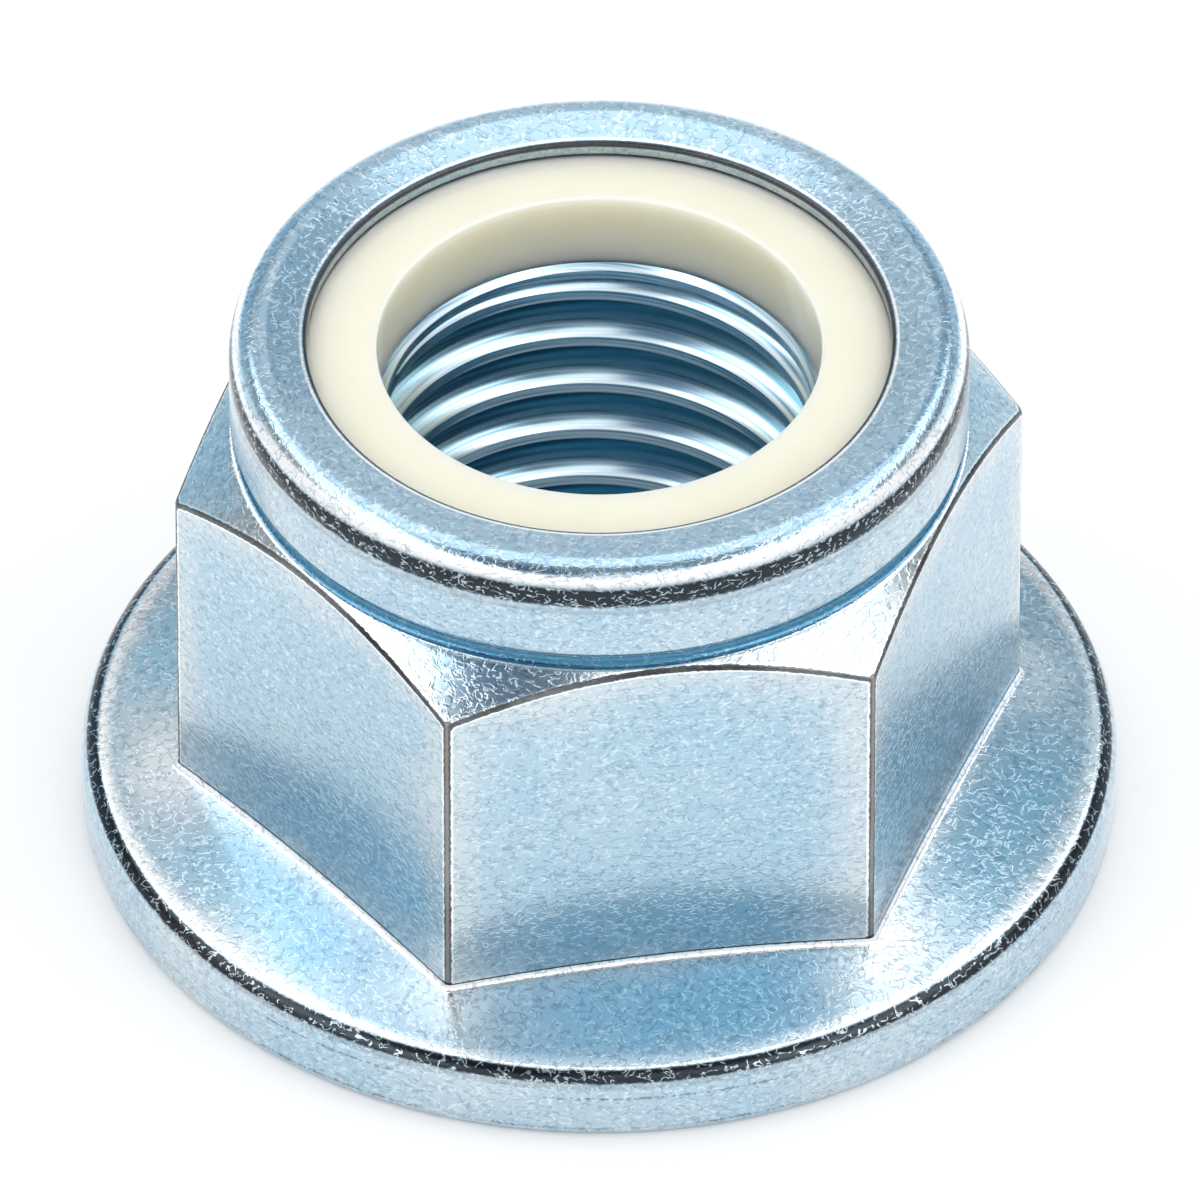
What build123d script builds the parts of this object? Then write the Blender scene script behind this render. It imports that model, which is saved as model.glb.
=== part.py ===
from build123d import *
from math import cos, hypot, radians, sin, sqrt, tan
import os

# Nylon insert lock nut with a wide flange, for an M16 coarse thread.
# Millimetres. +Z runs up the thread axis, and the origin is the middle of the flange's
# bearing face. Two corners of the hexagon lie on the X axis.

# Thread
thread_diameter = 16.0
thread_pitch = 2.0
entry_margin = 0.65
entry_half_angle = 60.0
upper_lead_in = 0.2

# Flange
flange_diameter = 33.6
rim_height = 2.35
flange_slope = 10.5
rim_top_round = 0.85
rim_bottom_round = 0.35

# Hexagon
across_flats = 24.0
hexagon_height = 15.65
chamfer_angle = 37.0
corner_round = 0.28
chamfer_edge_round = 0.14
foot_fillet = 0.25

# Neck, a groove between the hexagon and the collar
neck_width = 0.6
neck_depth = 0.28

# Collar, which stands a little inside the flats so that a socket passes over it
socket_clearance = 0.1
collar_height = 4.05
collar_wall = 1.5
collar_base_round = 0.2
shoulder_round = 1.05
lip_reach = 1.0
lip_slope = 10.0
lip_thickness = 0.78
lip_edge_round = 0.12

# Insert, and the hollow that it fills under the rolled lip
hollow_rise = 0.7
hollow_corner_round = 0.5
insert_bite = 0.85
insert_sink = 0.5
insert_crown = 0.14
insert_edge_round = 0.12

# Radii that follow from those sizes. A 60 degree thread is five eighths as deep as it is sharp.
sharp_thread_depth = sqrt(3) / 2 * thread_pitch
minor_radius = thread_diameter / 2 - 5 / 8 * sharp_thread_depth
flange_radius = flange_diameter / 2
flat_radius = across_flats / 2
corner_radius = across_flats / sqrt(3)
collar_radius = flat_radius - socket_clearance
hollow_radius = collar_radius - collar_wall
mouth_radius = hollow_radius - lip_reach
insert_bore_radius = thread_diameter / 2 - insert_bite


def flange_top(radius):
    """Height of the flange's conical top at a radius."""
    return rim_height + (flange_radius - radius) * tan(radians(flange_slope))


def chamfer_top(radius):
    """Height of the cone that cuts the top of the hexagon, at a radius."""
    return hexagon_height + (flat_radius - radius) * tan(radians(chamfer_angle))


# The neck is one round groove, from the top of the chamfer to the foot of the collar's wall.
neck_low = chamfer_top(collar_radius)
neck_high = neck_low + neck_width
neck_middle = neck_low + neck_width / 2
neck_root = (collar_radius - neck_depth, neck_middle)
groove_round = (neck_depth ** 2 + (neck_width / 2) ** 2) / (2 * neck_depth)

# The shoulder turns through a right angle and on into the lip's inward slope.
nut_height = hexagon_height + collar_height
shoulder_centre = (collar_radius - shoulder_round, nut_height - shoulder_round)


def shoulder_point(angle):
    """A point (radius, height) on the shoulder, from 0 at the wall to 90 at the crest."""
    turn = radians(angle)
    return (shoulder_centre[0] + shoulder_round * cos(turn), shoulder_centre[1] + shoulder_round * sin(turn))


def groove_point(height):
    """A point (radius, height) on the neck's groove."""
    drop = height - neck_middle
    return (neck_root[0] + groove_round - sqrt(groove_round ** 2 - drop ** 2), height)


# Heights inside the collar, from the lip's top down to the floor of the hollow
lip_start = shoulder_point(90 + lip_slope)
lip_fall = tan(radians(lip_slope))
lip_top = lip_start[1] - (lip_start[0] - mouth_radius) * lip_fall
lip_under = lip_top - lip_thickness
hollow_top = lip_under + lip_reach * lip_fall
hollow_floor = hexagon_height + hollow_rise
insert_rim_top = lip_top - insert_sink
insert_bore_top = insert_rim_top + insert_crown


def section_line(*points):
    """Straight runs through (radius, height) points of a half section."""
    return Polyline(*[(radius, 0, height) for radius, height in points])


def section_arc(*points):
    """An arc of a half section through three (radius, height) points."""
    return ThreePointArc(*[(radius, 0, height) for radius, height in points])


def turned(outline, *rounds):
    """Turn a closed half section about the axis, its (corner, radius) pairs rounded first."""
    section = make_face(outline)
    for (radius, height), size in rounds:
        corner = section.vertices().sort_by_distance((radius, 0, height))[0]
        section = fillet(corner, size)
    return revolve(section, Axis.Z)


def flange():
    """The washer face forged in one with the nut: flat below, a shallow cone on top."""
    base = (flange_radius, 0)
    rim = (flange_radius, rim_height)
    hub = (flat_radius - foot_fillet, flange_top(flat_radius - foot_fillet))
    outline = section_line((0, 0), base, rim, hub, (0, hub[1]), (0, 0))
    return turned(outline, (rim, rim_top_round), (base, rim_bottom_round))


def hexagon():
    """The wrenching hexagon. A cone cuts its top and leaves an arc on each flat."""
    low = rim_height / 2
    wide = corner_radius + corner_round
    start = (collar_radius, neck_low)
    bar = fillet(RegularPolygon(corner_radius, 6).vertices(), corner_round)
    prism = Pos(0, 0, low) * extrude(bar, neck_middle - low)
    run = section_line(
        neck_root, (0, neck_middle), (0, low), (wide, low), (wide, chamfer_top(wide)), start
    )
    groove = section_arc(start, groove_point((neck_low + neck_middle) / 2), neck_root)
    block = prism & turned([run, groove])
    cone = block.faces().filter_by(GeomType.CONE).sort_by(SortBy.AREA)[-1]
    arcs = [edge for edge in cone.edges() if edge.geom_type != GeomType.CIRCLE]
    return fillet(arcs, chamfer_edge_round)


def collar():
    """The thin wall above the neck, rolled inwards over the insert at its top."""
    foot = (collar_radius, neck_high)
    lip = (mouth_radius, lip_top)
    wall = section_line(foot, shoulder_point(0))
    roll = section_arc(shoulder_point(0), shoulder_point(45), lip_start)
    inside = section_line(
        lip_start, lip, (mouth_radius, lip_under), (0, lip_under), (0, neck_middle), neck_root
    )
    groove = section_arc(neck_root, groove_point((neck_middle + neck_high) / 2), foot)
    return turned([wall, roll, inside, groove], (foot, collar_base_round), (lip, lip_edge_round))


def hollow():
    """The space under the rolled lip, which the insert fills."""
    corner = (hollow_radius, hollow_top)
    outline = section_line(
        (0, hollow_floor),
        (hollow_radius, hollow_floor),
        corner,
        (mouth_radius, lip_under),
        (0, lip_under),
        (0, hollow_floor),
    )
    return turned(outline, (corner, hollow_corner_round))


def bore():
    """The tapping hole at the thread's minor diameter, with a cone at each end."""
    entry_radius = thread_diameter / 2 + entry_margin
    entry_depth = (entry_radius - minor_radius) / tan(radians(entry_half_angle))
    outline = section_line(
        (0, 0),
        (entry_radius, 0),
        (minor_radius, entry_depth),
        (minor_radius, hollow_floor - upper_lead_in),
        (minor_radius + upper_lead_in, hollow_floor),
        (0, hollow_floor),
        (0, 0),
    )
    return turned(outline)


def nut_body():
    """Flange, hexagon and collar: one piece of steel, hollowed and bored."""
    blank = flange() + hexagon()
    foot_low = flange_top(corner_radius) - foot_fillet
    foot_high = flange_top(flat_radius) + foot_fillet
    foot = [
        edge
        for edge in blank.edges()
        if foot_low < edge.center().Z < foot_high
        and flat_radius - foot_fillet < hypot(edge.center().X, edge.center().Y) < corner_radius
    ]
    return fillet(foot, foot_fillet) + collar() - hollow() - bore()


def nylon_insert():
    """The locking ring: a washer that fills the hollow and stands up inside the rolled lip."""
    corner = (hollow_radius, hollow_top)
    mouth = (insert_bore_radius, insert_bore_top)
    outline = section_line(
        (insert_bore_radius, hollow_floor),
        (hollow_radius, hollow_floor),
        corner,
        (mouth_radius, lip_under),
        (mouth_radius, insert_rim_top),
        mouth,
        (insert_bore_radius, hollow_floor),
    )
    return turned(outline, (corner, hollow_corner_round), (mouth, insert_edge_round))


os.makedirs("parts", exist_ok=True)
for name, make in (("nut_body", nut_body), ("nylon_insert", nylon_insert)):
    piece = make()
    export_step(piece, f"parts/{name}.step")
    print(name, "volume", round(piece.volume, 1), "box", piece.bounding_box().size)
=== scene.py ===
# %% [markdown]
# # A flanged lock nut with a nylon ring
#
# The real nut is two pieces. The steel one is forged, tapped and zinc plated, with its collar rolled
# inwards at the top. The other is a ring of ivory nylon, trapped under that rolled lip. This lesson
# turns, presses and taps the steel in one mesh, turns the nylon in another, and then gives each its finish.

from math import atan2, ceil, cos, degrees, hypot, pi, radians, sin, sqrt, tan

import bmesh
import bpy
from mathutils import Matrix, Vector


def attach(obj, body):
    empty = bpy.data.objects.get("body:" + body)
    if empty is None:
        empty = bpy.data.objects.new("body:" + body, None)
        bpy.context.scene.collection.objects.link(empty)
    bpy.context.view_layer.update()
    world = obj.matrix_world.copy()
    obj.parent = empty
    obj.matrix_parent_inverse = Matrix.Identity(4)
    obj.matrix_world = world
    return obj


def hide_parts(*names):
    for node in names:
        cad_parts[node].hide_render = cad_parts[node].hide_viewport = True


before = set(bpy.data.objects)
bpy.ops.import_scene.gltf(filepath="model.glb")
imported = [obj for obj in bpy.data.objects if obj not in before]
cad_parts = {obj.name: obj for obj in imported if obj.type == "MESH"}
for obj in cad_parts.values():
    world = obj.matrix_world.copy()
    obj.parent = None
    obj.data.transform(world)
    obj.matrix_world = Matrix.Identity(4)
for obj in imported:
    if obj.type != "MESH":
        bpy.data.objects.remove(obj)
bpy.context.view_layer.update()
MM = 0.001

# %% [markdown]
# The camera comes first, because every later choice is judged through it. It is a long lens from about
# a metre, so the two ends of the nut are seen at nearly the same scale. Its place is worked out from
# an azimuth, an elevation and a distance, and two small slides put the nut where it belongs in the frame.

# %% Place the camera
CAMERA_AZIMUTH = radians(260.65)
CAMERA_ELEVATION = radians(42.0)
CAMERA_DISTANCE = 1008 * MM
CAMERA_RIGHT = 0.021 * MM
CAMERA_UP = 5.993 * MM
SENSOR_WIDTH = 36.0
VIEW_WIDTH = 39.0 * MM

back = Vector((cos(CAMERA_AZIMUTH) * cos(CAMERA_ELEVATION), sin(CAMERA_AZIMUTH) * cos(CAMERA_ELEVATION),
               sin(CAMERA_ELEVATION)))
right = back.cross(Vector((0, 0, 1))).normalized() * -1
up = back.cross(right)

camera_data = bpy.data.cameras.new("camera")
camera_data.sensor_width = SENSOR_WIDTH
camera_data.lens = SENSOR_WIDTH * CAMERA_DISTANCE / VIEW_WIDTH
camera_data.clip_start = 0.05
camera_data.clip_end = 10
camera = bpy.data.objects.new("camera", camera_data)
bpy.context.scene.collection.objects.link(camera)
place = CAMERA_DISTANCE * back + CAMERA_RIGHT * right + CAMERA_UP * up
camera.matrix_world = Matrix.Translation(place) @ Matrix((right, up, back)).transposed().to_4x4()
bpy.context.scene.camera = camera
print("lens", round(camera_data.lens), "mm, camera at", [round(c, 3) for c in place])

# %% [markdown]
# ## Sizes
#
# All sizes are in millimetres, as a maker would write them, and are turned into metres when a vertex is
# made. The nut is for an M16 coarse thread, so most of them follow from 16 mm and a pitch of 2 mm. The
# hollow's sag rounds its sloping ceiling into its wall, and the joint line is how far the shadow between
# the lip and the nylon reaches up.

# %% Sizes of the nut
PITCH = 2.0
MINOR = 8.0 - 5 / 8 * sqrt(3) / 2 * PITCH
MAJOR = 8.0
FLANGE = 16.8
RIM_HEIGHT = 2.35
FLANGE_SLOPE = 10.5
RIM_TOP_ROUND = 0.85
RIM_BOTTOM_ROUND = 0.35
FLAT = 12.0
CORNER = FLAT / cos(radians(30))
CORNER_ROUND = 0.28
CHAMFER_HEIGHT = 15.65
CHAMFER_ANGLE = 37.0
CHAMFER_ROUND = 0.14
FOOT_FILLET = 0.25
COLLAR = 11.9
NECK_WIDTH = 0.6
NECK_DEPTH = 0.28
COLLAR_BASE_ROUND = 0.2
HEIGHT = 19.7
SHOULDER = 1.05
LIP_SLOPE = 10.0
LIP_ROUND = 0.12
LIP_THICKNESS = 0.78
MOUTH = 9.4
HOLLOW = 10.4
HOLLOW_FLOOR = 16.35
NYLON_RIM = 18.96
HOLLOW_ROUND = 0.5
HOLLOW_SAG = 0.04
JOINT_LINE = 0.14
ENTRY = 8.65
ENTRY_ANGLE = 60.0
RING_LAND = 15.82
RING_CHAMFER = 0.2

LIP_FALL = tan(radians(LIP_SLOPE))
ROLL_CENTRE = (COLLAR - SHOULDER, HEIGHT - SHOULDER)
LIP_START = (
    ROLL_CENTRE[0] - SHOULDER * sin(radians(LIP_SLOPE)),
    ROLL_CENTRE[1] + SHOULDER * cos(radians(LIP_SLOPE)),
)
LIP_TOP = LIP_START[1] - (LIP_START[0] - MOUTH) * LIP_FALL
LIP_UNDER = LIP_TOP - LIP_THICKNESS
HOLLOW_TOP = LIP_UNDER + (HOLLOW - MOUTH) * LIP_FALL
HOLLOW_CORNER = (HOLLOW - HOLLOW_ROUND, HOLLOW_TOP - HOLLOW_ROUND - HOLLOW_SAG)
RIM_TURN = 90 - FLANGE_SLOPE
RIM_LOW = RIM_HEIGHT - RIM_TOP_ROUND * tan(radians(RIM_TURN / 2))
print("lip", round(LIP_TOP, 3), "to", round(LIP_UNDER, 3), "mm high")

# %% [markdown]
# ## Outline helpers
#
# A turned part is drawn as half a section: radius across, height up. Two helpers are enough. One walks
# along an arc, the other along a straight run. A run can crowd its points towards both ends, where the
# finish will change quickly.

# %% Arc and run
def arc(centre, radius, start, end, steps):
    """Points (radius, height) of an arc from one angle to another, in degrees, both ends included."""
    turns = [radians(start + (end - start) * step / steps) for step in range(steps + 1)]
    return [(centre[0] + radius * cos(turn), centre[1] + radius * sin(turn)) for turn in turns]


def run(start, end, steps, crowd=0.0):
    """Points strictly between two (radius, height) points, crowded towards the ends on request."""
    shares = [step / steps for step in range(1, steps)]
    shares = [share + crowd * ((0.5 - 0.5 * cos(pi * share)) - share) for share in shares]
    across = end[0] - start[0]
    rise = end[1] - start[1]
    return [(start[0] + across * share, start[1] + rise * share) for share in shares]


def flange_top(radius):
    """Height of the flange's conical top."""
    return RIM_HEIGHT + (FLANGE - radius) * tan(radians(FLANGE_SLOPE))


def chamfer_top(radius):
    """Height of the cone that cuts the top of the hexagon."""
    return CHAMFER_HEIGHT + (FLAT - radius) * tan(radians(CHAMFER_ANGLE))


def foot_centre(wall):
    """Centre of the fillet at the foot of the hexagon, where its wall is at this radius."""
    return (wall + FOOT_FILLET, flange_top(wall) + FOOT_FILLET * tan(radians(RIM_TURN / 2)))


NECK_LOW = chamfer_top(COLLAR)
print("neck starts", round(NECK_LOW, 3), "mm high")

# %% [markdown]
# ## The hexagon as a formula
#
# A pressed hexagon is a round bar whose radius changes with the angle. Along a flat the radius is the
# flat's distance divided by a cosine. Near a corner it follows the small round that every forging has.
# Columns of vertices are crowded at the corners, so that the round gets six faces while a flat, which
# needs no detail, gets few.

# %% Radius of the hexagon, and the columns of the mesh
ROUND_CENTRE = CORNER - CORNER_ROUND / cos(radians(30))
ROUND_SPAN = degrees(atan2(CORNER_ROUND / 2, ROUND_CENTRE + CORNER_ROUND * cos(radians(30))))
ROUND_COLUMNS = 3
FLAT_COLUMNS = 20
CROWDING = 1.6
SECTOR = 60
COLUMNS = 6 * 2 * (ROUND_COLUMNS + FLAT_COLUMNS)


def from_corner(azimuth):
    """Signed angle in degrees to the nearest corner of the hexagon."""
    return (azimuth + SECTOR / 2) % SECTOR - SECTOR / 2


def reach(azimuth):
    """Radius of the hexagon at an azimuth in degrees."""
    turn = radians(abs(from_corner(azimuth)))
    if degrees(turn) >= ROUND_SPAN:
        return FLAT / cos(radians(30) - turn)
    return ROUND_CENTRE * cos(turn) + sqrt(CORNER_ROUND ** 2 - (ROUND_CENTRE * sin(turn)) ** 2)


def crowded(azimuth):
    """The azimuth that an evenly spaced column moves to."""
    corner = SECTOR * round(azimuth / SECTOR)
    offset = azimuth - corner
    step = abs(offset) / (360 / COLUMNS)
    if step <= ROUND_COLUMNS:
        span = ROUND_SPAN * step / ROUND_COLUMNS
    else:
        span = ROUND_SPAN + (SECTOR / 2 - ROUND_SPAN) * ((step - ROUND_COLUMNS) / FLAT_COLUMNS) ** CROWDING
    return corner + (span if offset > 0 else -span)


print("columns", COLUMNS, "corner round spans", round(2 * ROUND_SPAN, 2), "degrees")

# %% [markdown]
# ## The thread as a formula
#
# An internal thread is a crest land, a flank at 30 degrees, a root land and a flank back. Its radius
# depends on one number only, the height above the helix, so a short list of (height, radius) points
# over one pitch describes it. The crest's edges are a little blunt, as plating leaves them.

# %% One pitch of the thread
CREST_LAND = PITCH / 4
FLANK_RISE = (MAJOR - MINOR) * tan(radians(30))
BLUNT = 0.03
BLUNT_REACH = BLUNT * 1.5
ROOT_SAG = 0.03
ROOT_EDGES = (0.06, 0.19)
HELIX_START = 0.87
BACK_AZIMUTH = degrees(CAMERA_AZIMUTH) - 180
FLANK_STEPS = 4


def thread_section():
    """(height, radius) points over one pitch, from the crest's lower edge upwards."""
    blunt_rise = BLUNT * tan(radians(30))
    land = (BLUNT_REACH, CREST_LAND / 2, CREST_LAND - BLUNT_REACH)
    crest = [(0, MINOR + BLUNT)] + [(above, MINOR) for above in land]
    low = (CREST_LAND + blunt_rise, MINOR + BLUNT)
    high = (CREST_LAND + FLANK_RISE, MAJOR)
    root = [high] + [(high[0] + above, MAJOR + ROOT_SAG) for above in ROOT_EDGES]
    back_up = (high[0] + CREST_LAND / 2, MAJOR)
    end = (PITCH, MINOR + BLUNT)
    return crest + [low] + run(low, high, FLANK_STEPS) + root + [back_up] + run(back_up, end, FLANK_STEPS)


THREAD = thread_section()


def thread_radius(azimuth, height):
    """Radius of the tapped wall, for an azimuth in degrees and a height in mm."""
    above = (height - HELIX_START - PITCH * (azimuth - BACK_AZIMUTH) / 360) % PITCH
    points = THREAD + [(PITCH, THREAD[0][1])]
    for (low, inner), (high, outer) in zip(points, points[1:]):
        if above <= high:
            return inner + (outer - inner) * (above - low) / (high - low)


print("points in a pitch", len(THREAD))

# %% [markdown]
# ## The blank
#
# The half section runs from the bearing face, out round the flange, up the hexagon, through the neck and
# the rolled collar, and down inside it to the top of the thread. It always has the same number of
# points, whatever the hexagon's radius is at that azimuth. So one section can be spun into a round
# blank, and each of its rings can then be pressed to shape by asking for the section again, at the azimuth
# of each vertex.

# %% Half section of the steel
ROLL_STEPS = 28
RIM_STEPS = 24


def half_section(azimuth):
    """The steel's section at an azimuth. The last number of each arc and run is its steps."""
    wall = reach(azimuth)
    rim_centre = (FLANGE - RIM_TOP_ROUND, RIM_LOW)
    edge_turn = 90 - CHAMFER_ANGLE
    edge_centre = (wall - CHAMFER_ROUND, chamfer_top(wall) - CHAMFER_ROUND * tan(radians(edge_turn / 2)))
    groove = (NECK_DEPTH ** 2 + (NECK_WIDTH / 2) ** 2) / (2 * NECK_DEPTH)
    groove_centre = (COLLAR - NECK_DEPTH + groove, NECK_LOW + NECK_WIDTH / 2)
    base_reach = groove_centre[0] - (COLLAR - COLLAR_BASE_ROUND)
    base_rise = sqrt((groove + COLLAR_BASE_ROUND) ** 2 - base_reach ** 2)
    base_centre = (COLLAR - COLLAR_BASE_ROUND, groove_centre[1] + base_rise)
    base_turn = degrees(atan2(base_rise, base_reach))
    groove_foot = degrees(atan2(-NECK_WIDTH / 2, COLLAR - groove_centre[0])) % 360
    lip_centre = (MOUTH + LIP_ROUND, LIP_TOP - LIP_ROUND * tan(radians((90 - LIP_SLOPE) / 2)))

    face = [(ENTRY, 0)] + run((ENTRY, 0), (FLANGE - RIM_BOTTOM_ROUND, 0), 4)
    bottom = arc((FLANGE - RIM_BOTTOM_ROUND, RIM_BOTTOM_ROUND), RIM_BOTTOM_ROUND, -90, 0, 6)
    rim = arc(rim_centre, RIM_TOP_ROUND, 0, RIM_TURN, RIM_STEPS)
    foot = arc(foot_centre(wall), FOOT_FILLET, 270 - FLANGE_SLOPE, 180, 6)
    edge = arc(edge_centre, CHAMFER_ROUND, 0, edge_turn, 5)
    neck = arc(groove_centre, groove, groove_foot, 180 - base_turn, 10)
    base = arc(base_centre, COLLAR_BASE_ROUND, -base_turn, 0, 5)
    shoulder = arc(ROLL_CENTRE, SHOULDER, 0, 90 + LIP_SLOPE, ROLL_STEPS)
    lip = arc(lip_centre, LIP_ROUND, 90 + LIP_SLOPE, 180, 10)
    hollow = arc(HOLLOW_CORNER, HOLLOW_ROUND, 80, 0, 4)
    land = [
        (HOLLOW, HOLLOW_FLOOR),
        (MINOR + RING_CHAMFER, HOLLOW_FLOOR),
        (MINOR, HOLLOW_FLOOR - RING_CHAMFER),
        (MINOR, (HOLLOW_FLOOR + RING_LAND) / 2),
        (MINOR, RING_LAND),
        (thread_radius(azimuth, RING_LAND), RING_LAND),
    ]
    return (
        face + bottom + run(bottom[-1], rim[0], 3) + rim + run(rim[-1], foot[0], 8) + foot
        + run(foot[-1], edge[0], 16, crowd=0.9) + edge + run(edge[-1], neck[0], 8) + neck + base
        + run(base[-1], shoulder[0], 14) + shoulder + run(shoulder[-1], lip[0], 12, crowd=0.9) + lip
        + [(MOUTH, NYLON_RIM + JOINT_LINE), (MOUTH, NYLON_RIM), (MOUTH, LIP_UNDER)] + hollow + land
    )


blank_outline = half_section(SECTOR / 2)
print("rings", len(blank_outline))

# %% [markdown]
# Spin makes the blank in one call. A whole-number layer on the vertices keeps each one's ring number:
# spin copies it, so the pressing step knows which point of the section a vertex belongs to.

# %% Spin the blank and press the hexagon
AXIS = Vector((0, 0, 1))
WELD = 0.0005 * MM


def chain(mesh, outline):
    """Vertices joined by edges along an outline of (radius, height) points in mm."""
    ring = mesh.verts.layers.int.get("ring") or mesh.verts.layers.int.new("ring")
    verts = []
    for number, (radius, height) in enumerate(outline):
        vert = mesh.verts.new((radius * MM, 0, height * MM))
        vert[ring] = number
        verts.append(vert)
    edges = [mesh.edges.new(pair) for pair in zip(verts, verts[1:])]
    return verts + edges


def azimuth_of(point):
    """Azimuth in degrees, from 0 up to 360."""
    return degrees(atan2(point.y, point.x)) % 360


def set_polar(vert, azimuth, radius, height):
    turn = radians(azimuth)
    vert.co = Vector((radius * cos(turn), radius * sin(turn), height)) * MM


steel = bmesh.new()
bmesh.ops.spin(steel, geom=chain(steel, blank_outline), cent=(0, 0, 0), axis=AXIS, angle=2 * pi,
               steps=COLUMNS, use_merge=True)
ring = steel.verts.layers.int["ring"]
sections = {}
for vert in steel.verts:
    column = round(azimuth_of(vert.co) * COLUMNS / 360) % COLUMNS
    if column not in sections:
        azimuth = crowded(column * 360 / COLUMNS)
        sections[column] = (azimuth, half_section(azimuth))
    azimuth, outline = sections[column]
    set_polar(vert, azimuth, *outline[vert[ring]])
print("blank", len(steel.verts), "vertices")

# %% [markdown]
# ## Tapping
#
# Spin also takes a lift, given per step, and one pitch of lift over a whole turn is a screw thread. The
# chain is several pitches tall and begins a pitch too low, so that the bore is covered at every azimuth.
# What sticks out at either end is then pushed flat against the end of the bore, where merging doubles
# removes it.

# %% Spin the thread
tap = bmesh.new()
pitches = ceil(RING_LAND / PITCH) + 2
start = HELIX_START + PITCH * BACK_AZIMUTH / 360
start -= PITCH * ceil(start / PITCH + 1)
tap_outline = [
    (radius, start + PITCH * turn + above) for turn in range(pitches) for above, radius in THREAD
]
bmesh.ops.spin(tap, geom=chain(tap, tap_outline), cent=(0, 0, 0), axis=AXIS, angle=2 * pi,
               dvec=(0, 0, PITCH * MM / COLUMNS), steps=COLUMNS)


def entry_cone(height):
    """Radius of the cone that leads a bolt in."""
    return ENTRY - height * tan(radians(ENTRY_ANGLE))


for vert in tap.verts:
    even = azimuth_of(vert.co)
    column = round(even * COLUMNS / 360) % COLUMNS
    even = column * 360 / COLUMNS
    azimuth = crowded(even)
    height = vert.co.z / MM + PITCH * (azimuth - even) / 360
    height = min(max(height, 0), RING_LAND)
    set_polar(vert, azimuth, max(thread_radius(azimuth, height), entry_cone(height)), height)
bmesh.ops.remove_doubles(tap, verts=tap.verts, dist=WELD)
print("thread", len(tap.verts), "vertices in", pitches, "pitches")

# %% [markdown]
# The two meshes share their end rings exactly, because both ask the same formulas. Merging doubles
# welds them into one closed skin. Faces are smooth, apart from edges that turn sharply, and a weighted
# normal modifier keeps the flats looking flat beside their small rounds.

# %% Weld the steel and make it an object
SHARP = radians(36)


def object_of(name, mesh):
    """An object in the scene from a bmesh, which is freed."""
    data = bpy.data.meshes.new(name)
    mesh.to_mesh(data)
    mesh.free()
    piece = bpy.data.objects.new(name, data)
    bpy.context.scene.collection.objects.link(piece)
    return piece


def as_piece(name, mesh):
    """A piece of the nut, with its normals outwards and its smooth faces kept apart at sharp edges."""
    bmesh.ops.recalc_face_normals(mesh, faces=mesh.faces)
    piece = object_of(name, mesh)
    piece.data.shade_smooth()
    piece.data.set_sharp_from_angle(angle=SHARP)
    weighted = piece.modifiers.new("weighted normals", "WEIGHTED_NORMAL")
    weighted.keep_sharp = True
    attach(piece, "root")
    return piece


spare = bpy.data.meshes.new("thread")
tap.to_mesh(spare)
tap.free()
steel.from_mesh(spare)
bpy.data.meshes.remove(spare)
bmesh.ops.remove_doubles(steel, verts=steel.verts, dist=WELD)
bmesh.ops.dissolve_degenerate(steel, edges=steel.edges, dist=WELD / 5)
open_edges = [edge for edge in steel.edges if not edge.is_manifold]
print("steel", len(steel.verts), "vertices,", len(open_edges), "open edges")
nut = as_piece("plated_nut", steel)
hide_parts("nut_body")

# %% [markdown]
# ## The nylon ring
#
# The ring is turned too. Its top is lower at the outside, where the lip hides it, and its bore has a small
# round at the mouth, on which the material paints a thin highlight.

# %% Turn the nylon
NYLON_BORE = 7.15
NYLON_TOP = 19.1
NYLON_MOUTH_ROUND = 0.12
RING_STEPS = 192


def nylon_section():
    """The ring's closed section. The last number of each arc and run is its steps."""
    crown = degrees(atan2(NYLON_TOP - NYLON_RIM, MOUTH - NYLON_BORE))
    mouth_centre = (NYLON_BORE + NYLON_MOUTH_ROUND, NYLON_TOP - NYLON_MOUTH_ROUND)
    mouth = arc(mouth_centre, NYLON_MOUTH_ROUND, 90 - crown, 180, 8)
    hollow = arc(HOLLOW_CORNER, HOLLOW_ROUND, 0, 80, 4)
    top = [(MOUTH, LIP_UNDER), (MOUTH, NYLON_RIM)]
    inside = run(mouth[-1], (NYLON_BORE, HOLLOW_FLOOR), 10)
    floor_line = run((NYLON_BORE, HOLLOW_FLOOR), (HOLLOW, HOLLOW_FLOOR), 4)
    return (
        [(HOLLOW, HOLLOW_FLOOR)] + hollow + top + run(top[-1], mouth[0], 8) + mouth + inside
        + [(NYLON_BORE, HOLLOW_FLOOR)] + floor_line
    )


plastic = bmesh.new()
outline = nylon_section()
geom = chain(plastic, outline)
geom.append(plastic.edges.new((geom[len(outline) - 1], geom[0])))
bmesh.ops.spin(plastic, geom=geom, cent=(0, 0, 0), axis=AXIS, angle=2 * pi, steps=RING_STEPS, use_merge=True)
nylon = as_piece("nylon_ring", plastic)
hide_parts("nylon_insert")
print("nylon", len(nylon.data.vertices), "vertices")

# %% [markdown]
# ## Masks
#
# The finish changes where the shape does: zinc is thin and brown on sharp edges and bluer on the flats,
# and a painted highlight marks the thread's crests. The mesh knows where those places are, so it carries
# them as attributes that the material reads. They are worked out from the same formulas that made the
# shape. The black and white lines that a tightly rounded rim shows are masks too, measured round the
# rim's own section: a painted black reflection and a painted white highlight.

# %% Steps and bands
def smooth_step(low, high, value):
    """0 below the low limit, 1 above the high one, and smooth between."""
    share = min(max((value - low) / (high - low), 0), 1)
    return share * share * (3 - 2 * share)


def band(limits, value):
    """1 between two limits, fading to 0 outside them. The third number is half the fade's width."""
    low, high, fade = limits
    return smooth_step(low - fade, low + fade, value) * (1 - smooth_step(high - fade, high + fade, value))


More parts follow.
